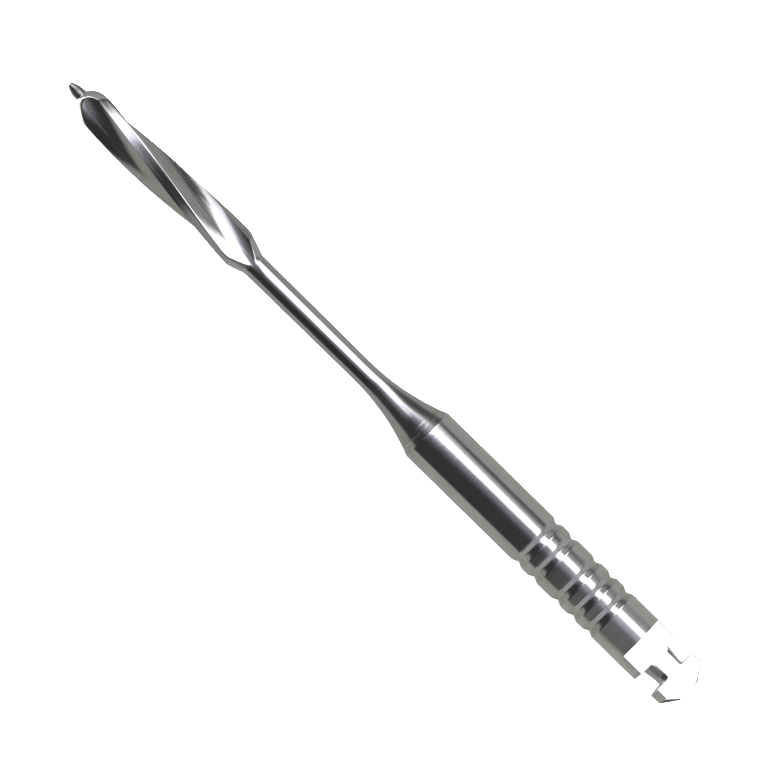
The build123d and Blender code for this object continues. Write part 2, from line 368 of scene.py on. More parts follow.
def shank_outline(shank, filler):
    """Half outline of the shank, from the end face's centre round to the socket's point.

    A ring groove is a V between two walls, rounded at its lips and its floor.
    Its unrounded point lies below the floor by the floor's radius times one
    over the cosine of the wall's angle, less one.
    """
    radius = shank.diameter / MM / 2
    length = shank.length / MM
    lip, floor = shank.ring_lip / MM, shank.ring_floor / MM
    apex = radius - shank.ring_depth / MM - floor * (1 / math.cos(RING_WALL_ANGLE) - 1)
    half = (radius - apex) / math.tan(RING_WALL_ANGLE)
    groove_end = LATCH_HEAD_LENGTH + LATCH_GROOVE_WIDTH
    corners = [
        (0, 0, 0),
        (0, END_FACE_RADIUS, END_FACE_ROUNDING),
        (END_CHAMFER_LENGTH, radius, EDGE_BREAK),
        (LATCH_HEAD_LENGTH, radius, EDGE_BREAK),
        (LATCH_HEAD_LENGTH, LATCH_NECK_RADIUS, LATCH_CORNER_RADIUS),
        (LATCH_HEAD_LENGTH + LATCH_NECK_PLAIN, LATCH_NECK_RADIUS, LATCH_NECK_BEND),
        (groove_end, LATCH_NECK_RADIUS + LATCH_NECK_GROWTH, LATCH_CORNER_RADIUS),
        (groove_end, radius, EDGE_BREAK),
    ]
    for x in ring_places():
        corners += [(x - half, radius, lip), (x, apex, floor), (x + half, radius, lip)]
    joint_rear = joint_faces(shank, filler)[0]
    slope = flare(shank, length, length + SHOULDER_REACH, 2)
    corners += [(length, radius, shank.shoulder_rounding / MM), (*slope[1], 0)]
    outside = rounded_outline(corners)[:-1]
    end = outside[:, 0] < END_ROWS_TO
    outside = np.concatenate([subdivide(outside[end], END_ROW_SPACING), outside[~end]])
    edge = flare(shank, joint_rear, joint_rear, 1)[0]
    bore = TAIL_RADIUS + FILLER_FILM
    socket_end = joint_rear - TAIL_LENGTH - SOCKET_END_ROOM
    point = bore / math.tan(math.radians(DRILL_POINT_ANGLE / 2))
    rest_start = outside[-1][0] + SHOULDER_ROOM
    rest = flare(shank, rest_start, joint_rear - JOINT_EDGE_ROOM, REAR_FLARE_ROWS)
    inside = rounded_outline(
        [
            (*rest[-1], 0),
            (*edge, JOINT_EDGE),
            (joint_rear, bore, 0),
            (socket_end, bore, 0),
            (socket_end - point, 0, 0),
        ],
        FEW_STEPS,
    )
    return join_outlines(outside, rest, inside)


def with_flat(radius, angle, height, rounding):
    """Radius of a round section cut off at a height, with rounded corners.

    Above the corner the radius is height over the sine of the angle. Across
    the corner it is where the ray meets the rounding's own small circle.
    """
    fold = np.where(np.sin(angle) > 0, np.minimum(angle, math.pi - angle), -1.0)
    inner_y = np.sqrt(np.maximum((radius - rounding) ** 2 - (height - rounding) ** 2, TINY**2))
    on_round = np.arctan2(height - rounding, inner_y)
    on_flat = np.arctan2(height, inner_y)
    along = inner_y * np.cos(fold) + (height - rounding) * np.sin(fold)
    reach = along**2 - (radius - rounding) ** 2 + rounding**2
    corner = along + np.sqrt(np.maximum(reach, 0))
    flat = height / np.maximum(np.sin(fold), TINY)
    cut = np.where(fold >= on_flat, flat, np.where(fold > on_round, corner, radius))
    return np.where(radius > height, cut, radius)


def shank_columns(shank):
    """Angles round the shank, closer together beside the edges of the flat."""
    edge = math.asin(shank.flat_height / (shank.diameter / 2))
    near = np.radians(np.linspace(*FLAT_EDGE_COLUMNS))
    neck = np.radians(np.arange(*NECK_EDGE_COLUMNS))
    even = np.radians(np.arange(0, 360, COLUMN_STEP))
    angles = np.concatenate([even, edge + near, math.pi - edge + near, neck, math.pi - neck])
    angles = np.unique(np.round(np.sort(angles % (2 * math.pi)), 5))
    return angles[np.concatenate([[True], np.diff(angles) > CLOSEST_COLUMNS])]


def shank_points(shank, filler):
    """Turned outline of the shank, cut by the drive flat behind its step.

    Behind the step the radius is the smaller of the outline's and the flat's
    height over the sine of the angle. The socket's rows aren't cut.
    """
    outline = shank_outline(shank, filler)
    length = shank.flat_length / MM
    ahead = np.argmax(outline[:, 0] > length)
    step_end = length + FLAT_STEP
    step_x = np.array([length - GUARD, length, step_end, step_end + GUARD])
    step = np.stack([step_x, np.full(len(step_x), shank.diameter / MM / 2)], 1)
    outline = np.concatenate([outline[:ahead], step, outline[ahead:]])
    x, radius, angle = round_grids(outline, shank_columns(shank))
    cut = with_flat(radius, angle, shank.flat_height / MM, shank.flat_edge / MM)
    inside = np.arange(len(outline))[:, None] > np.argmax(outline[:, 0])
    return to_points(x, np.where((x <= length + TINY) & ~inside, cut, radius), angle)


# ---- working part
HEAD_FROM_SHOULDER = 10.50
HEAD_BODY_LENGTH = 7.27
HEAD_SHOULDER_ANGLE = math.radians(20.6)
HEAD_SHOULDER_ROUNDING = 1.20
NECK_FRONT_RADIUS = 0.505
NECK_FILLET = 0.80
NOSE_LENGTH = 1.242
NOSE_POINT_RADIUS = 0.60
PILOT_LENGTH = 1.86
PILOT_TIP_RADIUS = 0.09
PILOT_OGIVE_LENGTH = 0.55
PILOT_OGIVE_RADIUS = 0.90
PILOT_TIP_ROUNDING = 0.06
PILOT_ROOT_FILLET = 0.12
FLUTES = 3
EDGE_ANGLE = 2.0
LAND_ANGLE = 30.0
LAND_RELIEF = 0.086
MARGIN_GRIND = 0.013
FLUTE_FLOOR_RADIUS = 1.00
FLUTE_FACE_RADIUS = 1.50
RUN_OUT_FROM_SHOULDER = 10.26
GRINDING_WHEEL_RADIUS = 26.0
CUTTER_CLEARANCE = 0.02
ROW_SPACING = 0.030
BODY_STEPS = 12
FINE_ROWS_FROM_SHOULDER = 8.4
NECK_ROW_SHARE = 12  # the plain neck keeps one row in this many
NOSE_SIDE_ROWS = 26
NOSE_POINT_ROWS = 18
PILOT_ROOT_ROWS = 9
OGIVE_ROWS = 12
PILOT_TIP_STEPS = 6
FACE_COLUMNS = 26
FACE_CROWDING = 1.5  # above 1, columns crowd towards the cutting edge
FLOOR_COLUMNS = 21
LAND_COLUMNS = 16
UNCUT_REACH = 10.0  # the section's radius where no flute is ground
GRAIN_STRETCH = 0.07


def circles_meet(centre, radius, other, other_radius, turn):
    """One of the two points where two circles cross.

    It lies along the line between the centres by distance squared plus radius
    squared less the other radius squared, over twice the distance. Across the
    line it lies by the square root of radius squared less that squared.
    """
    span = other - centre
    distance = np.linalg.norm(span)
    along = (distance**2 + radius**2 - other_radius**2) / (2 * distance)
    across = turn * math.sqrt(radius**2 - along**2)
    unit = span / distance
    return centre + unit * along + np.array([-unit[1], unit[0]]) * across


def arc_between(centre, start, end, shares):
    """Points on the shorter arc round a centre, at shares of the angle it turns."""
    a = math.atan2(*(start - centre)[::-1])
    b = math.atan2(*(end - centre)[::-1])
    turn = (b - a + math.pi) % (2 * math.pi) - math.pi
    angle = a + turn * shares
    radius = np.linalg.norm(start - centre)
    return centre + radius * np.stack([np.cos(angle), np.sin(angle)], 1)


def polar(radius, degrees):
    """Point (y, z) at radius times cosine and sine of an angle from +Y."""
    return radius * np.array([math.cos(math.radians(degrees)), math.sin(math.radians(degrees))])


def flute_section(head, core):
    """Points (y, z) round the fluted bar between its edges and its core.

    Each third has a convex cutting face, a concave floor and a straight
    land from its heel to the next cutting edge. The floor's circle passes
    through the heel and touches the core from outside. The face's circle
    passes through the edge and touches the floor's circle from outside.
    """
    step = 360 / FLUTES
    edge = polar(head + MARGIN_GRIND, 0)
    heel = polar(head - LAND_RELIEF, step - LAND_ANGLE)
    following = polar(head + MARGIN_GRIND, step)
    floor_centre = circles_meet(
        np.zeros(2), core + FLUTE_FLOOR_RADIUS, heel, FLUTE_FLOOR_RADIUS, -1
    )
    reach = FLUTE_FACE_RADIUS + FLUTE_FLOOR_RADIUS
    face_centre = circles_meet(edge, FLUTE_FACE_RADIUS, floor_centre, reach, 1)
    meeting = floor_centre + (face_centre - floor_centre) * FLUTE_FLOOR_RADIUS / reach
    crowd = np.linspace(0, 1, FACE_COLUMNS + 1)[:-1] ** FACE_CROWDING
    even = np.linspace(0, 1, FLOOR_COLUMNS + 1)[:-1]
    both = (1 - np.cos(np.linspace(0, math.pi, LAND_COLUMNS + 1)[:-1])) / 2
    third = np.concatenate(
        [
            arc_between(face_centre, edge, meeting, crowd),
            arc_between(floor_centre, meeting, heel, even),
            heel + (following - heel) * both[:, None],
        ]
    )
    turns = np.arange(FLUTES)[:, None] * math.radians(step)
    y, z = third[:, 0], third[:, 1]
    all_y = np.cos(turns) * y - np.sin(turns) * z
    all_z = np.sin(turns) * y + np.cos(turns) * z
    return np.stack([all_y.ravel(), all_z.ravel()], 1)


def working_outline(shank, filler, cutter):
    """Half outline of the turned blank: tail, flare, neck, head and pilot.

    The nose is two arcs: one starts level with the head, and the other, round
    a centre on the axis, continues it. The pilot's ogive is an arc through its
    start and its tip, whose centre lies on the chord's normal by the square
    root of the arc's radius squared less half the chord squared.
    """
    length = shank.length / MM
    head = cutter.head_diameter / MM / 2
    front = cutter.head_front_diameter / MM / 2
    pilot = cutter.pilot_diameter / MM / 2
    joint_rear, joint_front = joint_faces(shank, filler)
    tail_end = joint_rear - TAIL_LENGTH
    head_rear = length + HEAD_FROM_SHOULDER
    root = head_rear + HEAD_BODY_LENGTH
    tip = root + PILOT_LENGTH
    neck_front = head_rear - (head - NECK_FRONT_RADIUS) / math.tan(HEAD_SHOULDER_ANGLE)
    flare_rest = flare(shank, joint_front + JOINT_EDGE_ROOM, flare_end(shank), FLARE_ROWS)

    tail = rounded_outline(
        [
            (tail_end, 0, 0),
            (tail_end, TAIL_RADIUS - TAIL_END_CHAMFER, 0),
            (tail_end + TAIL_END_CHAMFER, TAIL_RADIUS, 0),
            (joint_front, TAIL_RADIUS, 0),
            (*flare(shank, joint_front, joint_front, 1)[0], JOINT_EDGE),
            (*flare_rest[0], 0),
        ],
        FEW_STEPS,
    )
    body = rounded_outline(
        [
            (*flare_rest[-1], 0),
            (neck_front, NECK_FRONT_RADIUS, NECK_FILLET),
            (head_rear, head, HEAD_SHOULDER_ROUNDING),
            (root, front, 0),
        ],
        BODY_STEPS,
    )
    body = subdivide(body, ROW_SPACING)
    fine = body[:, 0] > length + FINE_ROWS_FROM_SHOULDER
    body = body[fine | (np.arange(len(body)) % NECK_ROW_SHARE == 0)]

    point_x = root + NOSE_LENGTH - NOSE_POINT_RADIUS
    side_radius = ((point_x - root) ** 2 + front**2 - NOSE_POINT_RADIUS**2) / (
        2 * (front - NOSE_POINT_RADIUS)
    )
    bend = math.degrees(math.atan2(side_radius - front, point_x - root))
    side_centre = (root, front - side_radius)
    side = arc_points(side_centre, side_radius, 90, bend, NOSE_SIDE_ROWS)
    fillet_r = pilot + PILOT_ROOT_FILLET
    fillet_x = point_x + math.sqrt((NOSE_POINT_RADIUS + PILOT_ROOT_FILLET) ** 2 - fillet_r**2)
    touch = math.degrees(math.atan2(fillet_r, fillet_x - point_x))
    point = arc_points((point_x, 0), NOSE_POINT_RADIUS, bend, touch, NOSE_POINT_ROWS)
    fillet_centre = (fillet_x, fillet_r)
    fillet = arc_points(fillet_centre, PILOT_ROOT_FILLET, 180 + touch, 270, PILOT_ROOT_ROWS)

    ogive_start = np.array([tip - PILOT_OGIVE_LENGTH, pilot])
    corner = np.array([tip, PILOT_TIP_RADIUS])
    middle = (ogive_start + corner) / 2
    chord = corner - ogive_start
    half = np.linalg.norm(chord) / 2
    inward = np.array([chord[1], -chord[0]]) / np.linalg.norm(chord)
    centre = middle + inward * math.sqrt(PILOT_OGIVE_RADIUS**2 - half**2)
    ogive = arc_between(centre, ogive_start, corner, np.linspace(0, 1, OGIVE_ROWS))
    tip_corners = [(*ogive[-2], 0), (*corner, PILOT_TIP_ROUNDING), (tip, 0, 0)]
    end = rounded_outline(tip_corners, PILOT_TIP_STEPS)
    pilot_run = rounded_outline([(*fillet[-1], 0), (*ogive_start, 0)])
    return join_outlines(
        tail, flare_rest, body, side[1:], point[1:], fillet[1:], pilot_run, ogive[1:-1], end[1:]
    )


def soft_smaller(a, b, softness):
    """The smaller of two radii, eased where they differ by less than softness.

    There a quarter of softness is taken off, times the square of the share of
    softness by which they are nearer.
    """
    near = np.maximum(softness - np.abs(a - b), 0) / softness
    return np.minimum(a, b) - near**2 * softness / 4


def working_points(shank, filler, cutter):
    """Turned blank with the flutes' twisted section taken out of it.

    At x the section is a blend of the rear and the front one, turned by x
    over the lead. Behind the run-out it passes to one with a thicker core, by
    the distance squared over twice the grinding wheel's radius. The surface's
    radius is the smaller of the blank's and the section's. Also gives the
    untwisted places for the streaks and the share that is cut.
    """
    outline = working_outline(shank, filler, cutter)
    length = shank.length / MM
    head = cutter.head_diameter / MM / 2
    front = cutter.head_front_diameter / MM / 2
    core = cutter.core_diameter / MM / 2
    head_rear = length + HEAD_FROM_SHOULDER
    root = head_rear + HEAD_BODY_LENGTH
    run_out = length + RUN_OUT_FROM_SHOULDER
    lift_to_clear = NECK_FRONT_RADIUS - core + CUTTER_CLEARANCE
    ground_rear = run_out - math.sqrt(2 * GRINDING_WHEEL_RADIUS * lift_to_clear)
    ground_front = root + NOSE_LENGTH

    rear_section = flute_section(head, core)
    to_front = flute_section(front, core) - rear_section
    to_lifted = flute_section(head, core + lift_to_clear) - rear_section
    x = outline[:, 0]
    forward = np.maximum(x - head_rear, 0) / HEAD_BODY_LENGTH
    lift = np.maximum(run_out - np.maximum(x, ground_rear), 0) ** 2
    lifted = lift / (2 * GRINDING_WHEEL_RADIUS * lift_to_clear)
    section = (
        rear_section + forward[:, None, None] * to_front + lifted[:, None, None] * to_lifted
    )
    angle = np.unwrap(np.arctan2(section[..., 1], section[..., 0]), axis=1)
    held = np.clip(x, ground_rear, ground_front)
    twist = math.radians(EDGE_ANGLE) + (held - root) * 2 * math.pi / (cutter.lead / MM)
    ground = ((x > ground_rear) & (x < ground_front))[:, None]
    reach = np.where(ground, np.linalg.norm(section, axis=-1), UNCUT_REACH)
    blank = np.broadcast_to(outline[:, 1:], angle.shape)
    radius = np.maximum(soft_smaller(blank, reach, cutter.edge_softness / MM), 0)
    along = np.broadcast_to(x[:, None], angle.shape)
    grain = to_points(along * GRAIN_STRETCH, radius, angle)
    cut = np.clip((blank - reach) / (cutter.edge_softness / MM), 0, 1)
    return to_points(along, radius, angle + twist[:, None]), grain, cut


# ---- finish
# The lines and streaks of a finish are noise of this size and depth.
TURNED_LINES = (0.10, 0.0012)
FILLER_LINES = (0.06, 0.0010)
GROUND_LINES = (0.07, 0.0007)
STREAKS = (0.11, 0.004)
FILLER_ROUGHNESS = 0.14
NOISE_ROUGHNESS = 0.6
LINE_STRETCH = 0.12
LINE_DETAIL = 3.0
LINE_SPAN = (0.3, 0.7)
LINE_POLISH = (0.8, 1.25)
CLOUD_SIZE = 0.9
CLOUD_DETAIL = 4.0
CLOUD_SPAN = (0.35, 0.65)
CLOUD_TONE = (0.93, 1.04)
STREAK_DETAIL = 4.0
STREAK_TONE_SPAN = (0.35, 0.65)
STREAK_TONE = (0.86, 1.06)
STREAK_POLISH_SPAN = (0.40, 0.66)
STREAK_POLISH = (0.06, 0.30)
PILOT_TONE = (0.62, 0.60, 0.60, 1.0)
PILOT_ROUGHNESS = 0.32


def new_node(tree, kind, inputs=(), **traits):
    """New shader node of a kind, with its traits and then its inputs set."""
    node = tree.nodes.new("ShaderNode" + kind)
    for name, value in traits.items():
        setattr(node, name, value)
    for name, value in dict(inputs).items():
        node.inputs[name].default_value = value
    return node


def map_range(tree, given, wanted):
    """Node that carries one span of values evenly over to another."""
    names = ("From Min", "From Max", "To Min", "To Max")
    return new_node(tree, "MapRange", zip(names, (*given, *wanted)))


def noise_bump(tree, size, depth, detail):
    """Noise node of a size in millimetres, and the bump node for its depth."""
    inputs = {"Scale": 1 / (size * MM), "Detail": detail, "Roughness": NOISE_ROUGHNESS}
    noise = new_node(tree, "TexNoise", inputs)
    return noise, new_node(tree, "Bump", {"Strength": 1.0, "Distance": depth * MM})


def colour_product(tree, inputs=()):
    """Node that multiplies colour A by colour B, as far as its factor says."""
    return new_node(tree, "Mix", inputs, data_type="RGBA", blend_type="MULTIPLY")


def shader_of(material):
    """Tree and Principled shader of a material."""
    tree = material.node_tree
    return tree, next(node for node in tree.nodes if node.type == "BSDF_PRINCIPLED")


def insert(shader, name, node, entry, output):
    """Puts a node between one of the shader's inputs and what feeds it."""
    link = shader.id_data.links.new
    link(shader.inputs[name].links[0].from_socket, node.inputs[entry])
    link(node.outputs[output], shader.inputs[name])


def empty_material(name):
    """New material without nodes, and its tree."""
    material = bpy.data.materials.new(name)
    material.use_nodes = True
    material.node_tree.nodes.clear()
    return material, material.node_tree


def steel(name, tint, roughness, line_size, line_depth):
    """Polished steel with fine lines round the tool and a slight cloudiness.

    The lines are noise drawn out across the tool, in Object coordinates.
    """
    material, tree = empty_material(name)
    out = new_node(tree, "OutputMaterial")
    shader = new_node(tree, "BsdfPrincipled", {"Metallic": 1.0})
    place = new_node(tree, "TexCoord")
    stretch = new_node(tree, "Mapping", {"Scale": (1.0, LINE_STRETCH, LINE_STRETCH)})
    lines, bump = noise_bump(tree, line_size, line_depth, LINE_DETAIL)
    cloud = new_node(tree, "TexNoise", {"Scale": 1 / (CLOUD_SIZE * MM), "Detail": CLOUD_DETAIL})
    tone = new_node(tree, "ValToRGB")
    for stop, position, share in zip(tone.color_ramp.elements, CLOUD_SPAN, CLOUD_TONE):
        stop.position = position
        stop.color = (*[min(1, share * c) for c in tint], 1)
    polish = map_range(tree, LINE_SPAN, [roughness * share for share in LINE_POLISH])

    link = tree.links.new
    link(place.outputs["Object"], stretch.inputs["Vector"])
    link(stretch.outputs["Vector"], lines.inputs["Vector"])
    link(place.outputs["Object"], cloud.inputs["Vector"])
    link(lines.outputs["Fac"], bump.inputs["Height"])
    link(cloud.outputs["Fac"], tone.inputs["Fac"])
    link(lines.outputs["Fac"], polish.inputs["Value"])
    link(tone.outputs["Color"], shader.inputs["Base Color"])
    link(polish.outputs["Result"], shader.inputs["Roughness"])
    link(bump.outputs["Normal"], shader.inputs["Normal"])
    link(shader.outputs["BSDF"], out.inputs["Surface"])
    return material


def add_streaks(material, size, depth):
    """Grinding streaks along the flutes, where the wheel has cut.

    They come from noise in the untwisted places that the surface carries.
    They change the slope, the tone and the roughness a little.
    """
    tree, shader = shader_of(material)
    place = new_node(tree, "Attribute", attribute_name="grain")
    ground = new_node(tree, "Attribute", attribute_name="ground")
    streaks, bump = noise_bump(tree, size, depth, STREAK_DETAIL)
    masked = new_node(tree, "Math", operation="MULTIPLY")
    shade = map_range(tree, STREAK_TONE_SPAN, STREAK_TONE)
    tone = colour_product(tree)
    rough = map_range(tree, STREAK_POLISH_SPAN, STREAK_POLISH)
    polish = new_node(tree, "Mix", data_type="FLOAT")

    link = tree.links.new
    link(place.outputs["Vector"], streaks.inputs["Vector"])
    link(streaks.outputs["Fac"], masked.inputs[0])
    link(ground.outputs["Fac"], masked.inputs[1])
    link(masked.outputs["Value"], bump.inputs["Height"])
    link(streaks.outputs["Fac"], shade.inputs["Value"])
    link(ground.outputs["Fac"], tone.inputs["Factor"])
    link(shade.outputs["Result"], tone.inputs["B"])
    link(streaks.outputs["Fac"], rough.inputs["Value"])
    link(ground.outputs["Fac"], polish.inputs["Factor"])
    link(rough.outputs["Result"], polish.inputs["B"])
    insert(shader, "Normal", bump, "Normal", "Normal")
    insert(shader, "Base Color", tone, "A", "Result")
    insert(shader, "Roughness", polish, "A", "Result")


def dull_pilot(material, root):
    """Duller, darker finish ahead of the pilot's root, which lies root along the tool."""
    tree, shader = shader_of(material)
    place = new_node(tree, "TexCoord")
    split = new_node(tree, "SeparateXYZ")
    ahead = map_range(tree, (root * MM, (root + PILOT_ROOT_FILLET) * MM), (0.0, 1.0))
    tone = colour_product(tree, {"B": PILOT_TONE})
    polish = new_node(tree, "Mix", {"B": PILOT_ROUGHNESS}, data_type="FLOAT")

    link = tree.links.new
    link(place.outputs["Object"], split.inputs["Vector"])
    link(split.outputs["X"], ahead.inputs["Value"])
    link(ahead.outputs["Result"], tone.inputs["Factor"])
    link(ahead.outputs["Result"], polish.inputs["Factor"])
    insert(shader, "Base Color", tone, "A", "Result")
    insert(shader, "Roughness", polish, "A", "Result")


def finish_piece(piece, node, material):
    """Dresses a piece, lets it ride and puts it in place of its CAD node."""
    piece.data.materials.clear()
    piece.data.materials.append(material)
    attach(piece, "root")
    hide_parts(node)


# ---- studio
PANEL_LIGHT = 3.0
GLOW_BELOW_WIDTH = 38.0
GLOW_ABOVE_WIDTH = 18.0
TENT_GREY = 0.30
TENT_RADIUS = 60.0
# The tent's grid is close beside the tool and wide beyond both of its ends.
TENT_REAR_PLACES = (-700.0, -400.0, -200.0, -120.0)
TENT_NEAR_PLACES = (-100, 120, 1.5)  # from, to and step
TENT_FRONT_PLACES = (140.0, 200.0, 400.0, 700.0)
TENT_ANGLES = (-169, 191, 1.0)  # from, to and step


class Zone(NamedTuple):
    """How the light tent is hung at one place along the tool.

    Edges are the two angles from straight up, towards -Y, in degrees, between
    which one thing passes into the next. The other values are brightnesses.
    """

    card_edge: tuple
    card: float
    glow_below: float
    panel_lower: tuple
    panel_upper: tuple
    glow_above: float
    strip: float
    strip_edge: tuple
    plain: float


SHANK_ZONE = Zone((-107, -94), 0.05, 0.30, (-7, 8), (17, 32), 0.60, 0.13, (52, 66), 0.42)
RING_ZONE = SHANK_ZONE._replace(panel_upper=(14, 28), glow_above=0.50)
LATCH_ZONE = Zone((-125, -97), 0.23, 0.70, (-9, 11), (13, 29), 0.50, 0.44, (60, 72), 0.48)
NOTCH_ZONE = LATCH_ZONE._replace(card=0.20, plain=0.38)
NECK_ZONE = Zone((-107, -94), 0.04, 0.32, (-19, -3), (28, 50), 0.40, 0.32, (57, 70), 0.40)
HEAD_ZONE = Zone((-106, -84), 0.055, 0.30, (-17, 5), (24, 41), 0.25, 0.12, (66, 92), 0.36)
REAR_ZONE = HEAD_ZONE._replace(
    glow_below=0.34, panel_lower=(-9, 8), panel_upper=(32, 50), glow_above=0.38, strip=0.20
)
FRONT_ZONE = HEAD_ZONE._replace(panel_lower=(-25, 6), panel_upper=(15, 31), strip=0.10)
FLARE_ZONE = HEAD_ZONE._replace(glow_below=0.26, panel_lower=(-6, 17), panel_upper=(20, 37))
FAR_ZONE = SHANK_ZONE._replace(
    glow_below=0.25, panel_lower=(-10, 6), panel_upper=(23, 38), glow_above=0.35, strip=0.35,
    plain=0.38,
)
TENT_PLACES = (
    (-26.0, RING_ZONE),
    (-20.0, NOTCH_ZONE),
    (-11.0, NOTCH_ZONE),
    (-6.0, RING_ZONE),
    (-1.5, RING_ZONE),
    (0.5, LATCH_ZONE),
    (6.5, RING_ZONE),
    (11.5, SHANK_ZONE),
    (13.9, SHANK_ZONE),
    (15.0, NECK_ZONE),
    (23.0, NECK_ZONE),
    (26.5, REAR_ZONE),
    (32.0, HEAD_ZONE),
    (39.0, FRONT_ZONE),
    (47.0, FRONT_ZONE),
    (52.0, FLARE_ZONE),
    (66.0, FLARE_ZONE),
    (72.0, FAR_ZONE),
)
# From near the tip onwards the main panel fades away, and a second one follows it.
FADE_START = 31.0
FADE_LENGTH = 20.0
FADE_EDGE = (-14, 2)
SECOND_PANEL_EDGE = (68, 74)
UPPER_HALF = (80, 100)  # where the fading and the screen end on both sides
# A grey screen hangs above the panel, well ahead of the tip.
SCREEN_LIGHT = 0.45
SCREEN_EDGE = (56, 64)
SCREEN_SLANT = 0.25
SCREEN_ANGLE = 48
SCREEN_LOWER = (30, 42)
# The end of the tent behind the latch is even and pale.
END_LIGHT = (0.45, 0.60)
END_EDGE = (56, 66)
END_SLANT = 0.19
END_ANGLE = -20
END_SIDES = (105, 125)
# White paper lies low beyond both ends of the tool, with a shade beside the rear sheet.
# Four values are where a band rises, is full, starts to fall and ends.
PAPER_LIGHT = 1.8
REAR_PAPER = (130, 145, 196, 206)
REAR_PAPER_EDGE = (34, 46)
FRONT_PAPER = (156, 166, 225, 240)
FRONT_PAPER_EDGE = (42, 54)
SHADE_LIGHT = 0.12
SHADE = (160, 168, 186, 196)
SHADE_REACH = (5, 9, 42, 47)
# The light is a little cool at the panel's lower edge and a little warm low down.
COOL_ANGLE = -12
COOL_WIDTH = 22
COOL_TINT = (-0.03, -0.02, 0.14)
WARM_EDGE = (60, 100)
WARM_TINT = (0.012, 0.0, -0.04)
FLOOR_HALF_WIDTH = 1500.0
FLOOR_ROUGHNESS = 0.9
SOFTBOX_LENGTH = 500.0
SOFTBOX_WIDTH = 400.0
SOFTBOX_POWER = 6.0
SOFTBOX_PLACE = (17.0, -120.0, 450.0)
ROOM_STRENGTH = 6.0
# The camera aims at this distance along the tool and this far from its axis, towards -Y.
AIM_ALONG = 16.943
AIM_ASIDE = 0.2295
SENSOR_WIDTH = 36.0
CLIP_START = 10.0
CLIP_END = 10000.0


def smooth_step(value, low, high):
    """Share that eases from 0 at low to 1 at high: its square times three less twice it."""
    share = np.clip((value - low) / (high - low), 0, 1)
    return share * share * (3 - 2 * share)


def band(value, rise, full, fall, end):
    """Product of a share that eases up from rise to full and one down from fall to end."""
    return smooth_step(value, rise, full) * (1 - smooth_step(value, fall, end))


def blend(light, level, share):
    """Light plus a share of its distance to a level."""
    return light + (level - light) * share


def zone_light(zone, degrees):
    """Brightness round the tent in one zone.

    Plain paper carries a dark card below the bright panel and a dark strip
    above it. The panel's glow lies on both, beside its soft edges. Each is
    blended in by an eased share of the angle.
    """
    lower, upper = zone.panel_lower, zone.panel_upper
    below = degrees < (lower[1] + upper[0]) / 2
    card = blend(zone.plain, zone.card, smooth_step(degrees, *zone.card_edge))
    strip = blend(zone.strip, zone.plain, smooth_step(degrees, *zone.strip_edge))
    glow_below = smooth_step(degrees, lower[0] - GLOW_BELOW_WIDTH, lower[0]) ** 2
    glow_above = 1 - smooth_step(degrees, upper[1], upper[1] + GLOW_ABOVE_WIDTH)
    light = np.where(
        below,
        blend(card, zone.glow_below, glow_below),
        blend(strip, zone.glow_above, glow_above),
    )
    return blend(light, PANEL_LIGHT, band(degrees, *lower, *upper))


def tent_light(x, degrees):
    """Brightness of the tent at a place along the tool and an angle from the zenith.

    Between two places the light passes evenly from one zone to the next.
    Beyond the fade's start the panel's light falls by the exponential of minus
    the distance over the fade's length. The rest is blended in after that.
    """
    places = np.array([place for place, _ in TENT_PLACES])
    levels = np.stack([zone_light(zone, degrees) for _, zone in TENT_PLACES])
    at = np.interp(x, places, np.arange(len(places)))
    low = np.clip(np.floor(at).astype(int), 0, len(places) - 2)
    here = np.take_along_axis(levels, low[None], 0)[0]
    following = np.take_along_axis(levels, low[None] + 1, 0)[0]
    light = blend(here, following, at - low)

    upper = 1 - smooth_step(np.abs(degrees), *UPPER_HALF)
    peak = PANEL_LIGHT * np.exp(-np.maximum(x - FADE_START, 0) / FADE_LENGTH)
    peak = blend(peak, PANEL_LIGHT, smooth_step(x, *SECOND_PANEL_EDGE))
    faded = TENT_GREY + (light - TENT_GREY) * (peak - TENT_GREY) / (PANEL_LIGHT - TENT_GREY)
    faded = np.where(light > TENT_GREY, faded, light)
    light = blend(light, faded, upper * smooth_step(degrees, *FADE_EDGE))
    screen = smooth_step(x + SCREEN_SLANT * (degrees - SCREEN_ANGLE), *SCREEN_EDGE)
    light = blend(light, SCREEN_LIGHT, screen * smooth_step(degrees, *SCREEN_LOWER) * upper)
    end = smooth_step(-x + END_SLANT * np.abs(degrees - END_ANGLE), *END_EDGE)
    end = end * (1 - smooth_step(np.abs(degrees), *END_SIDES))
    light = blend(light, np.clip(light, *END_LIGHT), end)
    turn = degrees % 360
    light = blend(light, PAPER_LIGHT, band(turn, *REAR_PAPER) * smooth_step(-x, *REAR_PAPER_EDGE))
    light = blend(light, SHADE_LIGHT, band(turn, *SHADE) * band(-x, *SHADE_REACH))
    return blend(light, PAPER_LIGHT, band(turn, *FRONT_PAPER) * smooth_step(x, *FRONT_PAPER_EDGE))


def tent_tint(degrees):
    """White plus two tints.

    The cool one has a share of the exponential of minus the square of the
    distance from its angle over its width. The warm one's share eases in.
    """
    cool = np.exp(-(((degrees - COOL_ANGLE) / COOL_WIDTH) ** 2))
    warm = smooth_step(np.abs(degrees), *WARM_EDGE)
    return 1 + cool[..., None] * np.array(COOL_TINT) + warm[..., None] * np.array(WARM_TINT)


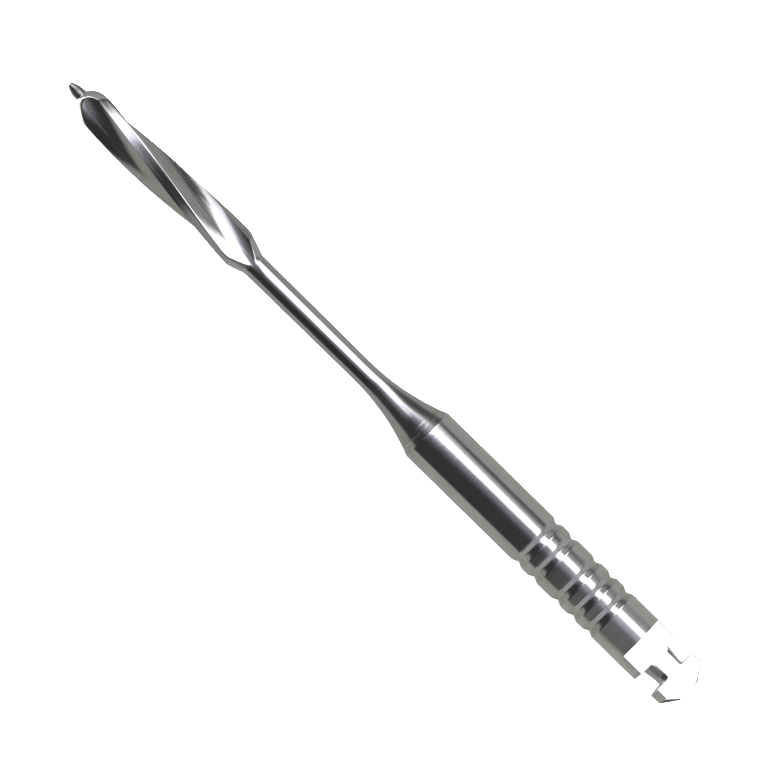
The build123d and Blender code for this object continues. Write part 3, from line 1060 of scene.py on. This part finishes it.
def make_tent():
    """Light tent round the tool, seen only in reflections.

    A long tube round X: y is minus its radius times the sine of the angle
    from straight up, and z is its radius times the cosine.
    """
    places = (TENT_REAR_PLACES, np.arange(*TENT_NEAR_PLACES), TENT_FRONT_PLACES)
    x, degrees = np.meshgrid(np.concatenate(places), np.arange(*TENT_ANGLES), indexing="ij")
    turn = np.radians(degrees)
    points = np.stack([x, -TENT_RADIUS * np.sin(turn), TENT_RADIUS * np.cos(turn)], -1)
    inward = grid_faces(*x.shape)[:, [0, 3, 2, 1]]
    mesh = grid_mesh("light_tent", points, inward)
    light = tent_light(x, degrees)[..., None] * tent_tint(degrees)
    light = np.concatenate([light, np.ones_like(x)[..., None]], -1)
    carry(mesh, "light", "FLOAT_COLOR", "color", light)
    material, tree = empty_material("tent_glow")
    out = new_node(tree, "OutputMaterial")
    glow = new_node(tree, "Emission")
    level = new_node(tree, "Attribute", attribute_name="light")
    tree.links.new(level.outputs["Color"], glow.inputs["Color"])
    tree.links.new(glow.outputs["Emission"], out.inputs["Surface"])
    mesh.materials.append(material)
    tent = new_object("light_tent", mesh)
    for ray in ("camera", "diffuse", "shadow", "transmission", "volume_scatter"):
        setattr(tent, "visible_" + ray, False)


def make_floor(studio, height):
    """Plain pale floor that the tool lies on."""
    half = FLOOR_HALF_WIDTH * MM
    mesh = bpy.data.meshes.new("floor")
    corners = [(x * half, y * half, height) for x, y in ((-1, -1), (1, -1), (1, 1), (-1, 1))]
    mesh.from_pydata(corners, [], [(0, 1, 2, 3)])
    material = bpy.data.materials.new("pale_floor")
    material.use_nodes = True
    shader = material.node_tree.nodes["Principled BSDF"]
    shader.inputs["Base Color"].default_value = (*studio.floor_colour, 1)
    shader.inputs["Roughness"].default_value = FLOOR_ROUGHNESS
    shader.inputs["Specular IOR Level"].default_value = 0.0
    mesh.materials.append(material)
    floor = new_object("floor", mesh)
    floor.visible_glossy = False


def make_light():
    """Large soft overhead lamp and a pale surround."""
    lamp = bpy.data.lights.new("overhead_softbox", "AREA")
    lamp.shape = "RECTANGLE"
    lamp.size = SOFTBOX_LENGTH * MM
    lamp.size_y = SOFTBOX_WIDTH * MM
    lamp.energy = SOFTBOX_POWER
    softbox = new_object("overhead_softbox", lamp)
    softbox.location = Vector(SOFTBOX_PLACE) * MM
    softbox.rotation_euler = (math.atan2(*SOFTBOX_PLACE[1:]), 0, 0)
    softbox.visible_glossy = False
    world = bpy.data.worlds.new("pale_room")
    world.use_nodes = True
    background = world.node_tree.nodes["Background"]
    background.inputs["Color"].default_value = (1, 1, 1, 1)
    background.inputs["Strength"].default_value = ROOM_STRENGTH
    bpy.context.scene.world = world


def make_camera(studio):
    """Camera square to the tool's axis, leaning to +Y and rolled."""
    lean, roll = studio.camera_lean, studio.camera_roll
    tool = Vector((1, 0, 0))
    back = Vector((0, math.sin(lean), math.cos(lean)))
    across = Vector((0, math.cos(lean), -math.sin(lean)))
    right = math.cos(roll) * tool - math.sin(roll) * across
    up = math.sin(roll) * tool + math.cos(roll) * across
    target = Vector((AIM_ALONG, 0, 0)) * MM - AIM_ASIDE * MM * across
    place = target + back * studio.camera_distance
    data = bpy.data.cameras.new("camera")
    data.sensor_width = SENSOR_WIDTH
    data.lens = data.sensor_width * studio.camera_distance / studio.view_width
    data.clip_start = CLIP_START * MM
    data.clip_end = CLIP_END * MM
    camera = new_object("camera", data)
    camera.matrix_world = Matrix((*zip(right, up, back, place), (0, 0, 0, 1)))
    bpy.context.scene.camera = camera


# ---- operators
class REAMER_OT_shank(bpy.types.Operator):
    """Build the latch shank with its rings, groove and flat"""

    bl_idname = "reamer.shank"
    bl_label = "Latch shank"

    def execute(self, context):
        shank = context.scene.reamer_shank
        points = shank_points(shank, context.scene.reamer_filler)
        piece = surface_object("latch_shank", points)
        finish = steel("turned_steel", shank.colour, shank.roughness, *TURNED_LINES)
        finish_piece(piece, "shank", finish)
        return {"FINISHED"}


class REAMER_OT_filler(bpy.types.Operator):
    """Build the filler of the brazed joint"""

    bl_idname = "reamer.filler"
    bl_label = "Brazed joint"

    def execute(self, context):
        scene = context.scene
        shank, filler = scene.reamer_shank, scene.reamer_filler
        rear, front = joint_faces(shank, filler)
        sleeve_end = rear - TAIL_LENGTH + TAIL_END_CHAMFER
        rear_top = flare(shank, rear, rear, 1)[0, 1] - filler.recess / MM
        front_top = flare(shank, front, front, 1)[0, 1]
        outline = np.array(
            [
                (sleeve_end, TAIL_RADIUS),
                (sleeve_end, TAIL_RADIUS + FILLER_FILM),
                (rear, TAIL_RADIUS + FILLER_FILM),
                (rear, rear_top),
                (front, front_top),
                (front, TAIL_RADIUS),
            ]
        )
        angles = np.radians(np.arange(0, 360, FILLER_COLUMN_STEP))
        points = to_points(*round_grids(outline, angles))
        piece = surface_object("brazed_joint", points, closed=True)
        finish = steel("braze_filler", filler.colour, FILLER_ROUGHNESS, *FILLER_LINES)
        finish_piece(piece, "braze_joint", finish)
        return {"FINISHED"}


class REAMER_OT_working_part(bpy.types.Operator):
    """Build the pilot, the fluted head, the neck and the flare"""

    bl_idname = "reamer.working_part"
    bl_label = "Working part"

    def execute(self, context):
        scene = context.scene
        shank, cutter = scene.reamer_shank, scene.reamer_cutter
        points, grain, ground = working_points(shank, scene.reamer_filler, cutter)
        piece = surface_object("fluted_cutter", points, grain=grain, ground=ground)
        finish = steel("ground_steel", cutter.colour, cutter.roughness, *GROUND_LINES)
        add_streaks(finish, *STREAKS)
        nose_end = shank.length / MM + HEAD_FROM_SHOULDER + HEAD_BODY_LENGTH + NOSE_LENGTH
        dull_pilot(finish, nose_end - PILOT_ROOT_FILLET)
        finish_piece(piece, "working_part", finish)
        return {"FINISHED"}


class REAMER_OT_studio(bpy.types.Operator):
    """Build the floor, the light and the camera"""

    bl_idname = "reamer.studio"
    bl_label = "Studio"

    def execute(self, context):
        studio = context.scene.reamer_studio
        make_floor(studio, CAD_BOX[0][2])
        make_tent()
        make_light()
        make_camera(studio)
        context.scene.view_settings.view_transform = "Standard"
        context.scene.view_settings.look = "None"
        return {"FINISHED"}


class REAMER_PT_panel(bpy.types.Panel):
    """Lists the steps of the build"""

    bl_idname = "REAMER_PT_panel"
    bl_label = "Root-canal reamer"
    bl_space_type = "VIEW_3D"
    bl_region_type = "UI"
    bl_category = "Reamer"

    def draw(self, context):
        for operator in STEPS:
            self.layout.operator(operator.bl_idname)
        for name in SETTINGS:
            box = self.layout.box()
            settings = getattr(context.scene, name)
            for prop in settings.bl_rna.properties:
                if prop.identifier not in {"rna_type", "name"}:
                    box.prop(settings, prop.identifier)


STEPS = (REAMER_OT_shank, REAMER_OT_filler, REAMER_OT_working_part, REAMER_OT_studio)
SETTINGS = {
    "reamer_shank": ShankSettings,
    "reamer_filler": FillerSettings,
    "reamer_cutter": CutterSettings,
    "reamer_studio": StudioSettings,
}


def register():
    """Makes the settings, the steps and the panel known to Blender."""
    for group in SETTINGS.values():
        bpy.utils.register_class(group)
    for cls in (*STEPS, REAMER_PT_panel):
        bpy.utils.register_class(cls)
    for name, group in SETTINGS.items():
        setattr(bpy.types.Scene, name, bpy.props.PointerProperty(type=group))


def unregister():
    """Takes away what register has made known."""
    for name in SETTINGS:
        delattr(bpy.types.Scene, name)
    for cls in (REAMER_PT_panel, *reversed(STEPS)):
        bpy.utils.unregister_class(cls)
    for group in reversed(list(SETTINGS.values())):
        bpy.utils.unregister_class(group)


def main():
    """Runs every step."""
    register()
    bpy.ops.reamer.shank()
    bpy.ops.reamer.filler()
    bpy.ops.reamer.working_part()
    bpy.ops.reamer.studio()


if __name__ == "__main__":
    main()
